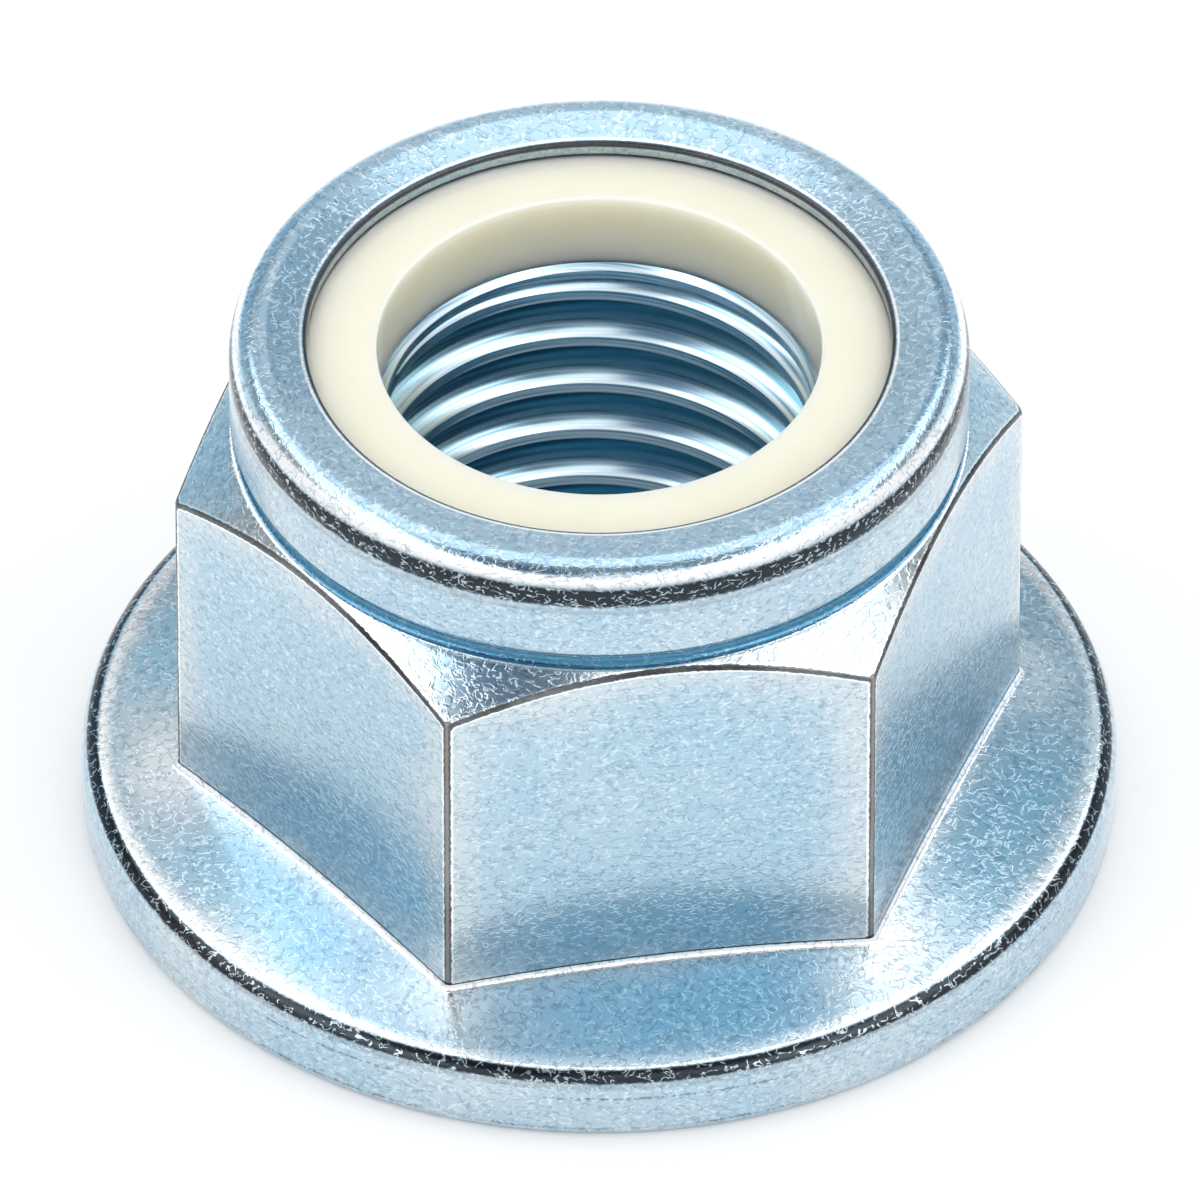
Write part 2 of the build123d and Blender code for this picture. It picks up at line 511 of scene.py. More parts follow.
# What counts as nowhere near a mark, and as on a surface, in mm
FAR = 5.0
SKIN = 0.01
print("masks count a vertex as on a surface within", SKIN, "mm")

# %% [markdown]
# Four marks belong to the hexagon and the flange. Worn lines follow the hexagon's edges, with a painted
# highlight beside them. The flange gets a painted reflection of each flat, a deeper blue in front of it,
# and a painted highlight at the foot of each corner. A thin painted highlight follows the fillet at the
# foot, and painted shade darkens the fillet's edge by the flat. Distances are in mm and angles in degrees.

# %% Marks on the hexagon and the flange
# The worn edges get a painted highlight beside them. The flange gets a painted reflection of each flat, a
# painted highlight at the foot of each corner and along the fillet, and painted shade at the fillet's edge by
# the flat
CORNER_HALF_WIDTH = 0.11
ARC_HALF_WIDTH = 0.055
ARC_CORE = -0.03
FLAT_REFLECTION = (0.8, 3.3, 0.7)
FLAT_REFLECTION_TURN = (7, 21)
GLOW_TURN = (2, 13)
GLOW_REACH = (0.6, 2.8)
CORNER_GLOW = 0.55
FOOT_HIGHLIGHT = (25, 75, 12)
FOOT_SHADE = 0.05
# How far past the edges of a flat its worn lines are looked for
SIDE_MARGIN = 0.15
FOOT_MARGIN = 0.3
TOP_MARGIN = 0.05


def hexagon_edge_gap(azimuth, radius, height):
    """Distance in mm to the nearest worn edge of the hexagon, below 0 on it, and whether this is a flat."""
    wall = reach(azimuth)
    top = chamfer_top(wall)
    foot = flange_top(wall)
    on_flat = FLAT - SIDE_MARGIN < radius < wall + SKIN
    if on_flat and foot - FOOT_MARGIN < height < top + TOP_MARGIN:
        sideways = radius * sin(radians(abs(from_corner(azimuth)))) - CORNER_HALF_WIDTH
        return min(sideways, max(top - height - 2 * ARC_HALF_WIDTH, ARC_CORE)), 1.0
    if COLLAR - SKIN < radius and foot + 1 < height < NECK_LOW + SKIN:
        return max((wall - radius) / cos(radians(CHAMFER_ANGLE)) - 2 * ARC_HALF_WIDTH, ARC_CORE), 0.0
    return FAR, 0.0


def on_flange_top(radius, height, low):
    """Whether this is the flange's top or the fillet on it, from a height upwards."""
    return radius >= FLAT and low <= height <= flange_top(radius) + FOOT_FILLET


def flat_reflection_of(azimuth, radius, height):
    """1 on the flange in front of the middle of a flat, fading to the rim and towards the corners: where the
    flat's reflection is painted.
    """
    if not on_flange_top(radius, height, RIM_HEIGHT - 0.2):
        return 0.0
    from_flat = radius * cos(radians(SECTOR / 2 - abs(from_corner(azimuth)))) - FLAT
    return band(FLAT_REFLECTION, from_flat) * smooth_step(*FLAT_REFLECTION_TURN, abs(from_corner(azimuth)))


def corner_glow(azimuth, radius, height):
    """A painted highlight on the flange, at the foot of each corner of the hexagon."""
    if not on_flange_top(radius, height, RIM_HEIGHT):
        return 0.0
    near = 1 - smooth_step(*GLOW_TURN, abs(from_corner(azimuth)))
    return CORNER_GLOW * near * (1 - smooth_step(*GLOW_REACH, radius - reach(azimuth)))


def foot_turn(azimuth, radius, height):
    """Angle round the foot fillet in degrees, from 0 at the flat to about 80 at the flange."""
    centre = foot_centre(reach(azimuth))
    if hypot(centre[0] - radius, centre[1] - height) > FOOT_FILLET + TOP_MARGIN or radius > centre[0]:
        return None
    return degrees(atan2(centre[1] - height, centre[0] - radius))


print("flat_reflection", FLAT_REFLECTION[:2], "mm in front of each flat")

# %% [markdown]
# The other marks are rings: painted black reflection bands and painted white highlight lines on the rim
# and the roll, painted shade at the lip's joint, on the lip's top and in the neck, and painted highlight
# lines on the lip and in the neck. The bands on the rim are measured by the angle round its top. Those on
# the rolled collar go by the way along its section, from the foot of the shoulder over the roll to the lip.

# %% Marks on the rim, the roll and the neck
# Painted black reflection bands and painted white highlight lines on the rim and the roll, a painted darker
# blue on the lip's top, painted shade in the lip's joint, and painted highlight lines on the lip and in the
# neck
RIM_DARK_REFLECTION = (36, 67, 5)
RIM_HIGHLIGHT = (71, 84, 3)
ROLL_DARK_REFLECTION = (-0.2, 0.46, 0.1)
ROLL_HIGHLIGHT = (0.53, 0.88, 0.06)
ROLL_SEAM = 1.0
LIP_FACE = (0.95, 1.15)
BROWN_FRINGE = (-0.5, -0.34, 0.09)
LIP_LINE = 0.12
LIP_GLINT = 0.21
NECK_GLINT = NECK_LOW + 0.4
NECK_FADE = 0.12
RIM_MARGIN = 0.3


def rim_turn_of(radius, height):
    """Angle in degrees round the rounded top of the flange's rim, from 0 at its wall."""
    if radius > FLANGE - RIM_TOP_ROUND and RIM_LOW - 0.1 < height:
        return degrees(atan2(height - RIM_LOW, radius - (FLANGE - RIM_TOP_ROUND)))
    return 0.0


def roll_run_of(radius, height):
    """Way in mm along the collar's section from the foot of the shoulder, below 0 on the wall."""
    rise = height - ROLL_CENTRE[1]
    on_roll = radius > ROLL_CENTRE[0] and height > ROLL_CENTRE[1] - 1
    on_lip = radius > MOUTH + 0.02 and height > LIP_TOP - 0.05
    if not on_roll and not on_lip:
        return -FAR
    return SHOULDER * atan2(rise, radius - ROLL_CENTRE[0]) if rise > 0 else rise


def lip_shade_and_glint(radius, height):
    """Distances in mm to the painted shade in the joint of lip and nylon and on the lip's inner corner, and
    to the painted highlight line on the lip beside it.
    """
    if not MOUTH - SKIN < radius < ROLL_CENTRE[0] or height <= NYLON_RIM - SKIN:
        return FAR, FAR
    dark = max(radius - MOUTH - LIP_LINE, LIP_TOP - LIP_LINE - height)
    if radius < MOUTH + SKIN:
        return min(dark, height - NYLON_RIM - LIP_LINE / 2), FAR
    return dark, abs(radius - MOUTH - LIP_GLINT)


def in_neck(radius, height):
    """Whether this is the groove under the collar."""
    return HOLLOW + 0.5 < radius < COLLAR + SKIN and NECK_LOW - SKIN < height < NECK_LOW + NECK_WIDTH + 0.1


print("rim band", RIM_DARK_REFLECTION[:2], "degrees, roll band", ROLL_DARK_REFLECTION[:2], "mm")

# %% Write the masks
def masks(point):
    """The value of each attribute at a point of the steel."""
    azimuth = azimuth_of(point)
    radius = hypot(point.x, point.y) / MM
    height = point.z / MM
    edge, flat = hexagon_edge_gap(azimuth, radius, height)
    rim_turn = rim_turn_of(radius, height)
    roll_run = roll_run_of(radius, height)
    shade_gap, glint = lip_shade_and_glint(radius, height)
    line = min(FAR, abs(roll_run - ROLL_SEAM))
    if radius > FLANGE - RIM_MARGIN and height < RIM_LOW + RIM_MARGIN:
        line = min(line, abs(height - RIM_LOW), abs(height - RIM_BOTTOM_ROUND))
    foot = foot_turn(azimuth, radius, height)
    foot_highlight = 0.0
    # At the foot the fillet gets a painted highlight band, and painted shade with a broken dark line at its
    # edge by the flat
    if foot is not None:
        foot_highlight = band(FOOT_HIGHLIGHT, foot)
        line = min(line, abs(foot) / 90 * FOOT_FILLET)
        shade_gap = radians(abs(foot)) * FOOT_FILLET - FOOT_SHADE
    neck = 0.0
    # The neck gets painted shade, and its glint a painted highlight line
    if in_neck(radius, height):
        neck = smooth_step(0, NECK_FADE, COLLAR - radius)
        glint = min(abs(height - NECK_GLINT), hypot(COLLAR - radius, height - NECK_LOW))
    in_bore = radius < ENTRY + SKIN and height < HOLLOW_FLOOR + SKIN
    depth = (radius - MINOR) / (MAJOR - MINOR) if in_bore else 0.0
    rim_highlight = band(RIM_HIGHLIGHT, rim_turn)
    roll_highlight = band(ROLL_HIGHLIGHT, roll_run)
    # Painted light and shade among these: the flat's reflection on the flange, the black reflection bands,
    # the highlight lines and patches, the glints, the shade lines at the joint and the foot, the neck's shade
    # and the lip's darker top
    return {
        "neck": neck,
        "lip_shade": smooth_step(*LIP_FACE, roll_run),
        "brown_fringe": band(BROWN_FRINGE, roll_run),
        "shade_gap": shade_gap,
        "glint": glint,
        "edge_gap": edge,
        "line_gap": line,
        "flat_face": flat,
        "flat_reflection": flat_reflection_of(azimuth, radius, height),
        "rim_dark_reflection": band(RIM_DARK_REFLECTION, rim_turn),
        "roll_dark_reflection": band(ROLL_DARK_REFLECTION, roll_run),
        "painted_highlight": max(foot_highlight, rim_highlight, roll_highlight, corner_glow(azimuth, radius, height)),
        "tapped": 1.0 if in_bore else 0.0,
        "groove": min(max(depth, 0), 1),
    }


rows = [masks(vert.co) for vert in nut.data.vertices]
names = list(rows[0])
for name in names:
    attribute = nut.data.attributes.new(name, "FLOAT", "POINT")
    attribute.data.foreach_set("value", [row[name] for row in rows])
print("masks on", len(rows), "vertices")

# %% [markdown]
# ## Node helpers
#
# The materials are built in code, so a few helpers keep them readable: one adds a node and sets its
# inputs, whether they are numbers or links, one paints a colour over another where a mask is, and one
# starts a shader group with named sockets.

# %% Add nodes, and start a group
def add(tree, kind, inputs=None, **settings):
    """A new node. Each input is a number, a colour or another node's output."""
    node = tree.nodes.new(kind)
    for name, value in settings.items():
        setattr(node, name, value)
    for name, value in (inputs or {}).items():
        if isinstance(value, bpy.types.NodeSocket):
            tree.links.new(value, node.inputs[name])
        else:
            node.inputs[name].default_value = value
    return node


def maths(tree, operation, first, second=0.0, third=0.0):
    node = add(tree, "ShaderNodeMath", {0: first, 1: second, 2: third}, operation=operation)
    return node.outputs[0]


def ramp(tree, value, low, high, to_low=0.0, to_high=1.0):
    """A smooth step of a value between two limits."""
    node = add(tree, "ShaderNodeMapRange", {"Value": value, "From Min": low, "From Max": high,
                                             "To Min": to_low, "To Max": to_high},
               interpolation_type="SMOOTHSTEP")
    return node.outputs["Result"]


def mix(tree, share, first, second):
    """The first colour, with a share of the second one over it."""
    node = add(tree, "ShaderNodeMix", {"Factor": share}, data_type="RGBA", blend_type="MIX")
    for socket, value in (("A", first), ("B", second)):
        target = [s for s in node.inputs if s.name == socket and s.type == "RGBA"][0]
        if isinstance(value, bpy.types.NodeSocket):
            tree.links.new(value, target)
        else:
            target.default_value = value
    return [s for s in node.outputs if s.type == "RGBA"][0]


def paint(tree, colour, mask, strength, over):
    """A colour with another one over it where a mask is, as strong as the number says."""
    return mix(tree, maths(tree, "MULTIPLY", mask, strength), colour, over)


def in_millimetres(tree):
    """Object coordinates in mm, so that a pattern's sizes read as sizes on the nut."""
    where = add(tree, "ShaderNodeTexCoord")
    scale = (1 / MM, 1 / MM, 1 / MM)
    return add(tree, "ShaderNodeMapping", {"Vector": where.outputs["Object"], "Scale": scale}).outputs[0]


def new_group(name, inputs, outputs):
    """A shader group. Inputs and outputs are (name, kind, default) and (name, kind)."""
    group = bpy.data.node_groups.new(name, "ShaderNodeTree")
    for label, kind, value in inputs:
        socket = group.interface.new_socket(label, in_out="INPUT", socket_type=kind)
        if value is not None:
            socket.default_value = value
    for label, kind in outputs:
        group.interface.new_socket(label, in_out="OUTPUT", socket_type=kind)
    return group, group.nodes.new("NodeGroupInput"), group.nodes.new("NodeGroupOutput")


FLOAT, VECTOR = "NodeSocketFloat", "NodeSocketVector"

# %% [markdown]
# ## Crinkles
#
# Bright zinc plate isn't smooth close up: it is covered in tiny worm-like ridges. The line where a noise
# passes through its middle value is just such a worm, so the group keeps a narrow band around that
# line and breaks it up with a second noise. It does so twice, for the ridges and for the creases beside
# them, and adds a soft orange peel below. The material paints the ridges pale, a painted highlight, and
# the creases dark, painted shade.

# %% The crinkle group
CREASE_SIZE = 0.9
CREASE_DEPTH = 0.7
CREASE_SHIFT = (7.1, 3.3, 5.7)


def worm_lines(group, vector, scale, width, shift):
    """Short curved lines, 1 on a line and 0 beside it."""
    moved = add(group, "ShaderNodeVectorMath", {0: vector, 1: shift}, operation="ADD")
    noise = add(group, "ShaderNodeTexNoise", {"Vector": moved.outputs[0], "Scale": scale, "Detail": 1.0,
                                              "Roughness": 0.45, "Distortion": 0.5})
    away = maths(group, "ABSOLUTE", maths(group, "SUBTRACT", noise.outputs["Fac"], 0.5))
    line = ramp(group, maths(group, "DIVIDE", away, width), 0.0, 1.0, 1.0, 0.0)
    gaps = add(group, "ShaderNodeTexNoise", {"Vector": moved.outputs[0], "Scale": scale, "Detail": 0.0})
    return maths(group, "MULTIPLY", line, ramp(group, gaps.outputs["Fac"], 0.4, 0.55))


def crinkle_group():
    group, given, result = new_group(
        "crinkle",
        [("Vector", VECTOR, None), ("Size", FLOAT, 0.2), ("Width", FLOAT, 0.1), ("Peel", FLOAT, 0.6)],
        [("Height", FLOAT), ("Ridges", FLOAT), ("Creases", FLOAT)],
    )
    vector = given.outputs["Vector"]
    width = given.outputs["Width"]
    scale = maths(group, "DIVIDE", 1.0, given.outputs["Size"])
    ridges = worm_lines(group, vector, scale, width, (0, 0, 0))
    creases = worm_lines(group, vector, maths(group, "MULTIPLY", scale, CREASE_SIZE), width, CREASE_SHIFT)
    peel = add(group, "ShaderNodeTexNoise", {"Vector": vector, "Scale": maths(group, "MULTIPLY", scale, 0.5),
                                             "Detail": 1.0})
    height = maths(group, "MULTIPLY_ADD", peel.outputs["Fac"], given.outputs["Peel"], ridges)
    height = maths(group, "MULTIPLY_ADD", creases, -CREASE_DEPTH, height)
    for label, value in (("Height", height), ("Ridges", ridges), ("Creases", creases)):
        group.links.new(value, result.inputs[label])
    return group


crinkle = crinkle_group()
print("crinkle group", len(crinkle.nodes), "nodes")

# %% [markdown]
# ## Zinc plate
#
# The steel is one metallic shader. Its colour drifts between a pale steel and a light blue. It deepens in
# front of each flat, as a painted reflection of the flat on the flange, in the neck and on the lip's top,
# as painted shade, and in the thread, and turns brown on the worn edges, with a painted highlight inside
# them. A painted black reflection band and a painted white highlight line run round the rim and the roll,
# where so tight a curve would squeeze a studio's walls into lines. A tap cuts its thread after forging, so
# the bore has fine streaks along the helix in place of crinkles, and a painted highlight lines each
# crest's edge. The crinkles are flattened in height, as the plating's wrinkles on an upright wall are.
# Their ridges get a painted highlight and their creases painted shade.

# %% Colours of the plate, and streaks in the thread
STEEL = (0.46, 0.575, 0.655, 1)
STEEL_PALE = (0.63, 0.68, 0.69, 1)
STEEL_BLUE = (0.34, 0.53, 0.65, 1)
# Painted reflection of each flat on the flange in front of it
REFLECTED_FLAT_BLUE = (0.21, 0.51, 0.71, 1)
# Painted highlight, for the white lines, patches and glints
PAINTED_HIGHLIGHT = (0.93, 0.96, 0.98, 1)
# Painted shade, a darker blue on the lip's top
LIP_SHADE_BLUE = (0.33, 0.50, 0.63, 1)
# Painted shade in the neck, and the thread's dark streaks
NECK_SHADE_AND_DARK_STREAK = (0.06, 0.20, 0.32, 1)
THREAD_BLUE = (0.42, 0.60, 0.72, 1)
GROOVE_BLUE = (0.30, 0.67, 0.82, 1)
# Painted highlight on the crinkles' ridges, and the thread's pale streaks
RIDGE_HIGHLIGHT_AND_PALE_STREAK = (0.86, 0.92, 0.96, 1)
# Painted shade in the crinkles' creases
CREASE_SHADE = (0.12, 0.22, 0.32, 1)
EDGE_BROWN = (0.20, 0.17, 0.145, 1)
# Dark core of the worn edges, and painted shade at the lip's joint and the foot
DARK_WEAR_AND_SHADE = (0.035, 0.03, 0.03, 1)
# Painted highlight beside the worn edges
EDGE_HIGHLIGHT = (0.95, 0.96, 0.97, 1)
# Painted black reflection on the rim and the roll
REFLECTION_BLACK = (0.018, 0.021, 0.026, 1)
CRINKLE = {"Size": 0.32, "Width": 0.075, "Peel": 0.9}
CRINKLE_HEIGHT = 0.0032 * MM
CRINKLE_CONTRAST = 0.46
STREAK_HEIGHT = 0.0015 * MM
STREAKS_ACROSS = 16.0
STREAKS_ALONG = 0.16
WALL_FLATTENING = 1.7
NECK_SMOOTHING = 0.8
ROUGHNESS = 0.17
RIDGE_ROUGHNESS = 0.05
WEAR_ROUGHNESS = 0.15
STREAK_ROUGHNESS = 0.08


def helix_streaks(tree, point):
    """A noise drawn out along the thread, so that it looks cut by the tap. Point is in mm."""
    axes = add(tree, "ShaderNodeSeparateXYZ", {"Vector": point})
    turn = maths(tree, "ARCTAN2", axes.outputs["Y"], axes.outputs["X"])
    above = maths(tree, "MULTIPLY_ADD", turn, -PITCH / (2 * pi), axes.outputs["Z"])
    above = maths(tree, "WRAP", above, PITCH, 0.0)
    along = add(tree, "ShaderNodeCombineXYZ", {
        "X": maths(tree, "MULTIPLY", above, STREAKS_ACROSS),
        "Y": maths(tree, "MULTIPLY", axes.outputs["X"], STREAKS_ALONG),
        "Z": maths(tree, "MULTIPLY", axes.outputs["Y"], STREAKS_ALONG),
    })
    noise = add(tree, "ShaderNodeTexNoise", {"Vector": along.outputs[0], "Scale": 1.0, "Detail": 2.0})
    return noise.outputs["Fac"]


# %% Colour of the plate, place by place
def plate_colour(tree, mask, cloud):
    """Steel drifting to blue, deeper on the flats, with a painted reflection of each flat on the flange,
    painted shade on the lip's top and in the neck, and painted highlights over it all.
    """
    colour = mix(tree, ramp(tree, cloud, 0.45, 0.7, 0.0, 0.5), STEEL, STEEL_BLUE)
    colour = mix(tree, ramp(tree, cloud, 0.3, 0.5, 0.4, 0.0), colour, STEEL_PALE)
    on_flat = maths(tree, "MULTIPLY", mask["flat_face"], ramp(tree, mask["edge_gap"], 0.0, 2.4))
    colour = paint(tree, colour, on_flat, 0.6, STEEL_BLUE)
    colour = mix(tree, ramp(tree, mask["edge_gap"], 0.1, 1.3, 0.5, 0.0), colour, STEEL_PALE)
    # Painted reflection of each flat, a deeper blue on the flange in front of it
    colour = paint(tree, colour, mask["flat_reflection"], 0.5, REFLECTED_FLAT_BLUE)
    # Painted shade on the lip's top
    colour = paint(tree, colour, mask["lip_shade"], 0.85, LIP_SHADE_BLUE)
    # Painted shade in the neck
    colour = mix(tree, mask["neck"], colour, NECK_SHADE_AND_DARK_STREAK)
    # Painted highlights on the rim, the roll, the foot fillet and the corners
    return mix(tree, mask["painted_highlight"], colour, PAINTED_HIGHLIGHT)


def thread_colour(tree, mask, streaks, colour):
    """The bore: bluer in the grooves, streaked by the tap, with a painted highlight line at each crest's
    edge.
    """
    colour = mix(tree, mask["tapped"], colour, THREAD_BLUE)
    colour = mix(tree, ramp(tree, mask["groove"], 0.2, 0.75), colour, GROOVE_BLUE)
    pale = maths(tree, "MULTIPLY", ramp(tree, streaks, 0.52, 0.66, 0.0, 0.3), mask["tapped"])
    colour = mix(tree, pale, colour, RIDGE_HIGHLIGHT_AND_PALE_STREAK)
    dark = maths(tree, "MULTIPLY", ramp(tree, streaks, 0.36, 0.5, 0.6, 0.0), mask["tapped"])
    colour = mix(tree, dark, colour, NECK_SHADE_AND_DARK_STREAK)
    # Painted highlight at each crest's edge
    edge = maths(tree, "MULTIPLY", ramp(tree, mask["groove"], 0.0, 0.03),
                 ramp(tree, mask["groove"], 0.07, 0.12, 0.45, 0.0))
    return mix(tree, edge, colour, PAINTED_HIGHLIGHT)


def worn_edges(tree, mask, cloud, uneven, colour):
    """Brown edges with a painted highlight line inside them, and broken thin lines. Returns the wear as well.
    """
    ragged = maths(tree, "MULTIPLY_ADD", uneven, 0.1, mask["edge_gap"])
    # A painted highlight line inside each worn edge
    bright = maths(tree, "MULTIPLY", ramp(tree, ragged, 0.01, 0.03), ramp(tree, ragged, 0.05, 0.1, 0.85, 0.0))
    colour = mix(tree, bright, colour, EDGE_HIGHLIGHT)
    patchy = ramp(tree, cloud, 0.3, 0.7, 0.75, 1.0)
    worn = maths(tree, "MULTIPLY", ramp(tree, ragged, -0.01, 0.02, 1.0, 0.0), patchy)
    broken = ramp(tree, maths(tree, "MULTIPLY_ADD", uneven, 0.3, mask["line_gap"]), 0.0, 0.035, 0.5, 0.0)
    broken = maths(tree, "MULTIPLY", broken, ramp(tree, cloud, 0.42, 0.58))
    core = mix(tree, ramp(tree, ragged, -0.07, -0.03), EDGE_BROWN, DARK_WEAR_AND_SHADE)
    return mix(tree, maths(tree, "MAXIMUM", worn, broken), colour, core), worn


def painted_reflections_and_shade(tree, mask, uneven, ridges, colour):
    """The painted black reflection bands, broken by the ridges, a brown fringe under the roll's band, the
    painted highlight lines at the lip and the neck, and the painted shade at the lip's joint and the foot.
    """
    # A brown fringe on the wall just under the roll's painted black band
    colour = paint(tree, colour, mask["brown_fringe"], 0.4, EDGE_BROWN)
    # Painted black reflection bands on the rim and the roll
    black = maths(tree, "MAXIMUM", mask["rim_dark_reflection"], mask["roll_dark_reflection"])
    black = ramp(tree, maths(tree, "MULTIPLY_ADD", uneven, 0.8, black), 0.1, 0.9, 0.0, 0.96)
    strokes = ramp(tree, ridges, 0.35, 0.9, 1.0, 0.3)
    colour = mix(tree, maths(tree, "MULTIPLY", black, strokes), colour, REFLECTION_BLACK)
    # Painted highlight lines on the lip and in the neck
    colour = mix(tree, ramp(tree, mask["glint"], 0.03, 0.07, 1.0, 0.0), colour, PAINTED_HIGHLIGHT)
    # Painted shade in the lip's joint and at the foot fillet
    return mix(tree, ramp(tree, mask["shade_gap"], -0.01, 0.015, 0.9, 0.0), colour, DARK_WEAR_AND_SHADE)


print("paint steps for", len(names), "masks")

# %% The zinc material
def zinc_material():
    material = bpy.data.materials.new("zinc_plate")
    material.use_nodes = True
    tree = material.node_tree
    shader = tree.nodes["Principled BSDF"]
    scaled = in_millimetres(tree)
    flattened = add(tree, "ShaderNodeMapping", {"Vector": scaled, "Scale": (1, 1, WALL_FLATTENING)})
    mask = {name: add(tree, "ShaderNodeAttribute", attribute_name=name).outputs["Fac"] for name in names}
    worm = add(tree, "ShaderNodeGroup", {"Vector": flattened.outputs[0], **CRINKLE}, node_tree=crinkle)
    forged = maths(tree, "SUBTRACT", 1.0, mask["tapped"])
    ridged = maths(tree, "MULTIPLY", forged, maths(tree, "MULTIPLY_ADD", mask["neck"], -NECK_SMOOTHING, 1.0))
    ridges = maths(tree, "MULTIPLY", worm.outputs["Ridges"], ridged)
    creases = maths(tree, "MULTIPLY", worm.outputs["Creases"], forged)
    cloud = add(tree, "ShaderNodeTexNoise", {"Vector": scaled, "Scale": 0.22, "Detail": 3.0}).outputs["Fac"]
    speck = add(tree, "ShaderNodeTexNoise", {"Vector": scaled, "Scale": 6.0, "Detail": 2.0}).outputs["Fac"]
    uneven = maths(tree, "SUBTRACT", speck, 0.5)
    streaks = helix_streaks(tree, scaled)

    colour = thread_colour(tree, mask, streaks, plate_colour(tree, mask, cloud))
    # Painted highlight on the crinkles' ridges and painted shade in their creases
    colour = paint(tree, colour, ridges, CRINKLE_CONTRAST, RIDGE_HIGHLIGHT_AND_PALE_STREAK)
    colour = paint(tree, colour, creases, CRINKLE_CONTRAST, CREASE_SHADE)
    colour, worn = worn_edges(tree, mask, cloud, uneven, colour)
    colour = painted_reflections_and_shade(tree, mask, uneven, ridges, colour)
    tree.links.new(colour, shader.inputs["Base Color"])

    rough = maths(tree, "MULTIPLY_ADD", ridges, RIDGE_ROUGHNESS, ROUGHNESS)
    rough = maths(tree, "MULTIPLY_ADD", worn, WEAR_ROUGHNESS, rough)
    streaked = maths(tree, "MULTIPLY", streaks, mask["tapped"])
    rough = maths(tree, "MULTIPLY_ADD", streaked, STREAK_ROUGHNESS, rough)
    tree.links.new(rough, shader.inputs["Roughness"])
    shader.inputs["Metallic"].default_value = 1.0
    height = maths(tree, "MULTIPLY", worm.outputs["Height"], forged)
    streak_height = maths(tree, "MULTIPLY", streaks, STREAK_HEIGHT / CRINKLE_HEIGHT)
    height = maths(tree, "MULTIPLY_ADD", streak_height, mask["tapped"], height)
    bump = add(tree, "ShaderNodeBump", {"Strength": 1.0, "Distance": CRINKLE_HEIGHT, "Height": height})
    tree.links.new(bump.outputs["Normal"], shader.inputs["Normal"])
    return material


zinc = zinc_material()
nut.data.materials.append(zinc)
print("zinc material", len(zinc.node_tree.nodes), "nodes")

# %% [markdown]
# ## Nylon
#
# Natural nylon is ivory, slightly see-through and satin. Light that spreads under its surface softens the
# bore's edge, a faint mottle keeps the flat ring from looking painted, and the thin round at the bore's
# mouth gets a painted highlight, a paler colour.

# %% The nylon material
IVORY = (0.75, 0.72, 0.59, 1)
IVORY_DEEP = (0.69, 0.65, 0.49, 1)
IVORY_HIGHLIGHT = (1.0, 0.99, 0.93, 1)
MOUTH_HIGHLIGHT = (0.01, 0.6, 0.1)
NYLON_ROUGHNESS = 0.17
GLOW_SPREAD = (1.0, 0.9, 0.7)
GLOW_DISTANCE = 3.0 * MM
GRAIN_HEIGHT = 0.002 * MM


def nylon_material():
    material = bpy.data.materials.new("nylon")
    material.use_nodes = True
    tree = material.node_tree
    shader = tree.nodes["Principled BSDF"]
    scaled = in_millimetres(tree)
    mottle = add(tree, "ShaderNodeTexNoise", {"Vector": scaled, "Scale": 0.35, "Detail": 3.0})
    colour = mix(tree, ramp(tree, mottle.outputs["Fac"], 0.35, 0.75, 0.0, 0.25), IVORY, IVORY_DEEP)
    edge = add(tree, "ShaderNodeAttribute", attribute_name="mouth_highlight").outputs["Fac"]
    # Painted highlight on the round at the bore's mouth
    colour = paint(tree, colour, edge, 0.45, IVORY_HIGHLIGHT)
    tree.links.new(colour, shader.inputs["Base Color"])
    shader.inputs["Roughness"].default_value = NYLON_ROUGHNESS
    shader.inputs["Subsurface Weight"].default_value = 1.0
    shader.inputs["Subsurface Radius"].default_value = GLOW_SPREAD
    shader.inputs["Subsurface Scale"].default_value = GLOW_DISTANCE
    grain = add(tree, "ShaderNodeTexNoise", {"Vector": scaled, "Scale": 2.5, "Detail": 2.0}).outputs["Fac"]
    bump = add(tree, "ShaderNodeBump", {"Strength": 1.0, "Distance": GRAIN_HEIGHT, "Height": grain})
    tree.links.new(bump.outputs["Normal"], shader.inputs["Normal"])
    return material


def mouth_highlight(point):
    """1 on the thin round between the ring's top and its bore, where a highlight is painted."""
    radius = hypot(point.x, point.y) / MM - NYLON_BORE
    depth = NYLON_TOP - point.z / MM
    return band(MOUTH_HIGHLIGHT, radius / NYLON_MOUTH_ROUND) if depth < NYLON_MOUTH_ROUND else 0.0


mouth_highlight_attribute = nylon.data.attributes.new("mouth_highlight", "FLOAT", "POINT")
mouth_highlight_attribute.data.foreach_set("value", [mouth_highlight(vert.co) for vert in nylon.data.vertices])
nylon.data.materials.append(nylon_material())
print("nylon's mouth is paler on", sum(share.value > 0 for share in mouth_highlight_attribute.data), "vertices")

# %% [markdown]
# ## Floor and light
#
# Bright metal shows the room more than itself. The room here is a pale one, with a white floor and plain
# pale walls. The floor's glow is for the camera and for reflections only, so the nut keeps its shadow. A
# glow isn't sampled as a lamp is, because that would make the render slow.

# %% The floor
FLOOR_SIZE = 1.2
FLOOR_GLOW = 0.07
MIRRORED_FLOOR_GLOW = 0.19
FLOOR_GREY = 0.8
WHITE = (1, 1, 1, 1)


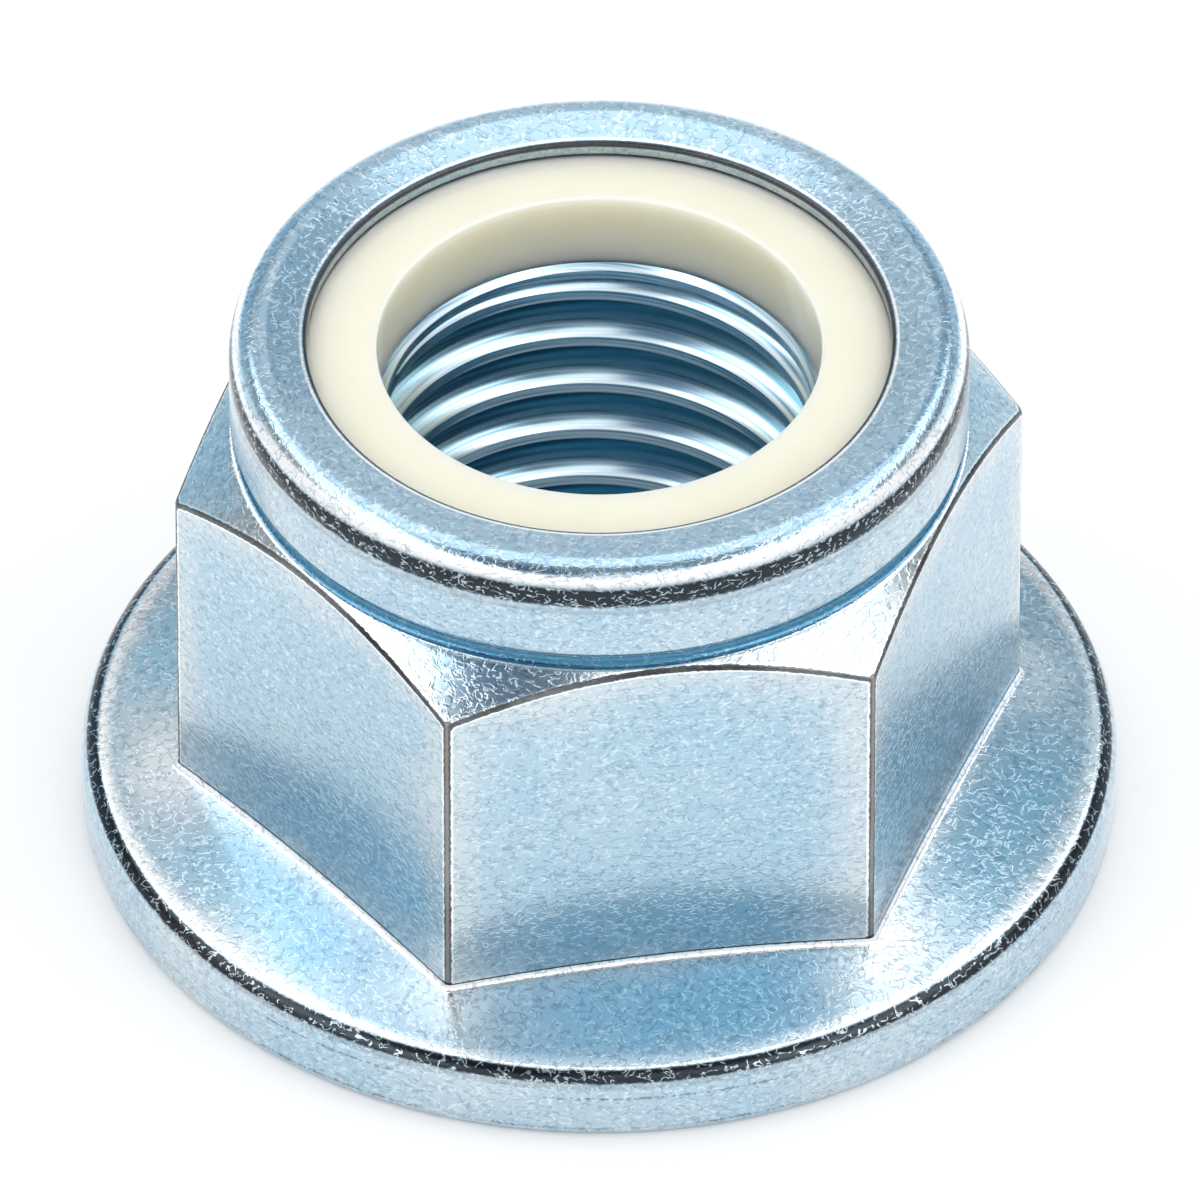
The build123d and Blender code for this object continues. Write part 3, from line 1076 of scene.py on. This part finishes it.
def matt_material(name, grey, glow):
    """A matt material, and the colour that it glows in."""
    material = bpy.data.materials.new(name)
    material.use_nodes = True
    shader = material.node_tree.nodes["Principled BSDF"]
    shader.inputs["Base Color"].default_value = (grey, grey, grey, 1)
    shader.inputs["Roughness"].default_value = 1.0
    shader.inputs["Specular IOR Level"].default_value = 0.0
    shader.inputs["Emission Color"].default_value = glow
    material.cycles.emission_sampling = "NONE"
    return material


def white_floor():
    mesh = bmesh.new()
    bmesh.ops.create_grid(mesh, x_segments=1, y_segments=1, size=FLOOR_SIZE)
    floor_piece = object_of("floor", mesh)
    material = matt_material("floor_white", FLOOR_GREY, WHITE)
    tree = material.node_tree
    shader = tree.nodes["Principled BSDF"]
    path = add(tree, "ShaderNodeLightPath")
    seen = maths(tree, "MULTIPLY", path.outputs["Is Camera Ray"], FLOOR_GLOW)
    seen = maths(tree, "MULTIPLY_ADD", path.outputs["Is Glossy Ray"], MIRRORED_FLOOR_GLOW, seen)
    tree.links.new(seen, shader.inputs["Emission Strength"])
    floor_piece.data.materials.append(material)
    return floor_piece


floor_piece = white_floor()
print("floor", [round(side, 2) for side in floor_piece.dimensions[:2]], "m")

# %% [markdown]
# The light is plain and soft: one lamp overhead, a long strip on each side and a small lamp in front, with
# an even white room round them. The strips give the flange and the thread their long highlights.

# %% The room's light
WALL_LIGHT = 0.45

world = bpy.data.worlds.new("room")
bpy.context.scene.world = world
world.use_nodes = True
world.node_tree.nodes["Background"].inputs["Color"].default_value = WHITE
world.node_tree.nodes["Background"].inputs["Strength"].default_value = WALL_LIGHT


def soft_lamp(name, aside, forward, height, width, length, brightness):
    """A rectangular lamp beside or over the nut, leaning towards it, with its length along the view."""
    data = bpy.data.lights.new(name, "AREA")
    data.shape = "RECTANGLE"
    data.size = width
    data.size_y = length
    data.energy = brightness * pi * width * length
    lamp = bpy.data.objects.new(name, data)
    lean = Matrix.Rotation(atan2(aside, height), 4, "Y")
    turn = Matrix.Rotation(CAMERA_AZIMUTH + pi / 2, 4, "Z")
    lamp.matrix_world = turn @ Matrix.Translation((aside, -forward, height)) @ lean
    bpy.context.scene.collection.objects.link(lamp)


# Metres to the right, to the front and up, metres of width and length, and brightness
LAMPS = {
    "softbox": (0, -0.22, 0.62, 0.56, 0.44, 1.35),
    "strip_right": (0.38, 0, 0.5, 0.22, 1.2, 1.9),
    "strip_left": (-0.38, 0, 0.5, 0.22, 1.2, 1.9),
    "front_lamp": (0.13, 0.28, 0.5, 0.32, 0.16, 1.2),
}
for name, values in LAMPS.items():
    soft_lamp(name, *values)
print("lamps", list(LAMPS))

# %% [markdown]
# Glowing cards stand round the nut as parts of one large sphere. The camera doesn't see them and they cast
# no shadow, but the metal reflects them. Most are pale. Two low ones behind the nut are tinted blue and
# colour the flange's far sides, and a dark blue one high in front gives the hexagon's cone its deep corner.

# %% Cards round the nut
CARD_RADIUS = 0.8
CARD_STEPS = 16
PALE_BLUE = (0.72, 0.9, 1, 1)
SKY_BLUE = (0.6, 0.84, 1, 1)
DEEP_BLUE = (0.4, 0.68, 1, 1)


def card(name, middle, half_width, low, high, strength, colour=WHITE):
    """Part of a sphere round the nut. Middle is measured from straight behind it, as the camera sees it."""
    mesh = bmesh.new()
    geom = chain(mesh, arc((0, 0), CARD_RADIUS / MM, low, high, CARD_STEPS))
    first = CAMERA_AZIMUTH + pi + radians(middle - half_width)
    bmesh.ops.rotate(mesh, verts=mesh.verts, cent=(0, 0, 0), matrix=Matrix.Rotation(first, 3, "Z"))
    bmesh.ops.spin(mesh, geom=geom, cent=(0, 0, 0), axis=AXIS, angle=radians(2 * half_width),
                   steps=CARD_STEPS)
    piece = object_of(name, mesh)
    material = matt_material(name, 0.0, colour)
    material.node_tree.nodes["Principled BSDF"].inputs["Emission Strength"].default_value = strength
    piece.data.materials.append(material)
    piece.visible_camera = False
    piece.visible_shadow = False


# Degrees from straight behind to the middle, degrees of half width, lowest and highest angle, and strength
CARDS = {
    "pale_wall": (180, 115, -1, 27, 0.95),
    "far_wall": (0, 15, -1, 24, 0.95),
    "blue_left": (40, 25, -1, 24, 0.85, SKY_BLUE),
    "blue_right": (-40, 25, -1, 24, 1.0, PALE_BLUE),
    "pale_back": (0, 13, 24, 56, 1.0),
    "pale_front": (180, 100, 27, 54, 1.15),
    "dark_top": (144, 28, 54, 74, 0.28, DEEP_BLUE),
    "pale_left": (24, 10, 31, 50, 0.9),
    "pale_right": (-24, 10, 31, 50, 0.7, PALE_BLUE),
}
for name, values in CARDS.items():
    card(name, *values)
print("cards", list(CARDS))

bpy.context.scene.view_settings.view_transform = "Standard"
